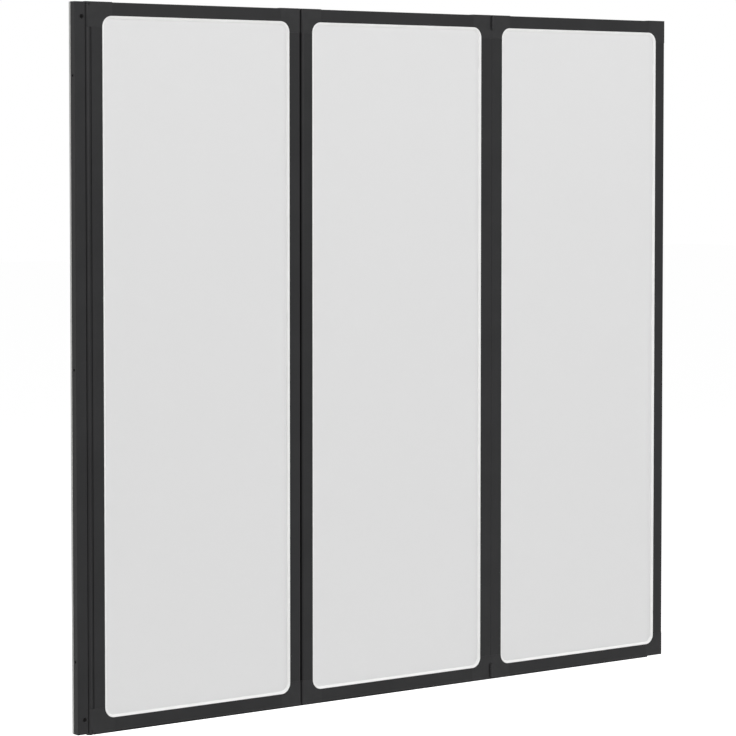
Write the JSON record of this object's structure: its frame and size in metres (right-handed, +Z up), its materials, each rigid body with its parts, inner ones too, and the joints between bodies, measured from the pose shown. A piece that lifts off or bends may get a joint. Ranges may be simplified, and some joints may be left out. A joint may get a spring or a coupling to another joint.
{
  "type": "folding shower screen",
  "caption": "Folding bath screen: framed panes with rounded corners hinged in a row on a wall profile, with a seal along the bottom edge.",
  "frame": {"origin": "lower end of the wall profile's wall face, halfway through the thickness of the panels", "axes": "+X runs along the screen away from the wall, -Y is the front, +Z is up"},
  "size_m": [1.302, 0.0244, 1.2025],
  "materials": {
    "powder_coat": "satin black powder coat on aluminium extrusions",
    "black_moulding": "satin black glass-filled nylon",
    "pane": "satin pane that lets light through but no view, pale grey",
    "light_seal": "soft off-white PVC",
    "grey_seal": "soft pale grey PVC",
    "black_seal": "matt black soft PVC",
    "black_steel": "blackened steel",
    "acetal": "black acetal",
    "steel": "plain stainless steel"
  },
  "bodies": {
    "wall": {"wall_profile": "powder_coat", "wall_seal": "grey_seal", "wall_cap_top": "black_moulding", "wall_cap_bottom": "black_moulding", "clamp_screws": "black_steel", "clamp_nuts": "steel"},
    "post": {"adjusting_profile": "powder_coat", "pivot_bracket_top": "black_moulding", "pivot_bracket_bottom": "black_moulding", "bracket_rivets": "steel", "wall_hinge_pins": "steel"},
    "panel_1": {"left_stile_1": "powder_coat", "right_stile_1": "powder_coat", "top_rail_1": "powder_coat", "bottom_rail_1": "powder_coat", "corner_top_left_1": "black_moulding", "corner_bottom_left_1": "black_moulding", "corner_top_right_1": "black_moulding", "corner_bottom_right_1": "black_moulding", "pane_1": "pane", "glazing_seal_1": "light_seal", "bottom_seal_1": "black_seal", "wall_hinge_bushes": "acetal", "fold_pins_1": "black_steel"},
    "panel_2": {"left_stile_2": "powder_coat", "right_stile_2": "powder_coat", "top_rail_2": "powder_coat", "bottom_rail_2": "powder_coat", "corner_top_left_2": "black_moulding", "corner_bottom_left_2": "black_moulding", "corner_top_right_2": "black_moulding", "corner_bottom_right_2": "black_moulding", "pane_2": "pane", "glazing_seal_2": "light_seal", "bottom_seal_2": "black_seal", "fold_seal_1": "black_seal", "fold_bushes_1": "acetal", "fold_pins_2": "black_steel"},
    "panel_3": {"left_stile_3": "powder_coat", "right_stile_3": "powder_coat", "top_rail_3": "powder_coat", "bottom_rail_3": "powder_coat", "corner_top_left_3": "black_moulding", "corner_bottom_left_3": "black_moulding", "corner_top_right_3": "black_moulding", "corner_bottom_right_3": "black_moulding", "pane_3": "pane", "glazing_seal_3": "light_seal", "bottom_seal_3": "black_seal", "fold_seal_2": "black_seal", "fold_bushes_2": "acetal"}
  },
  "joints": [
    {"name": "width_adjust", "type": "slide", "parent": "wall", "child": "post", "axis": [1, 0, 0], "range_m": [0, 0.008]},
    {"name": "wall_hinge", "type": "hinge", "parent": "post", "child": "panel_1", "pos_m": [0.0257, -0.0036, 0.5992], "axis": [0, 0, -1], "range_deg": [0, 90]},
    {"name": "fold_1_2", "type": "hinge", "parent": "panel_1", "child": "panel_2", "pos_m": [0.45395, 0.0096, 0.5992], "axis": [0, 0, 1], "range_deg": [0, 180]},
    {"name": "fold_2_3", "type": "hinge", "parent": "panel_2", "child": "panel_3", "pos_m": [0.87885, -0.0096, 0.5992], "axis": [0, 0, -1], "range_deg": [0, 180]}
  ]
}
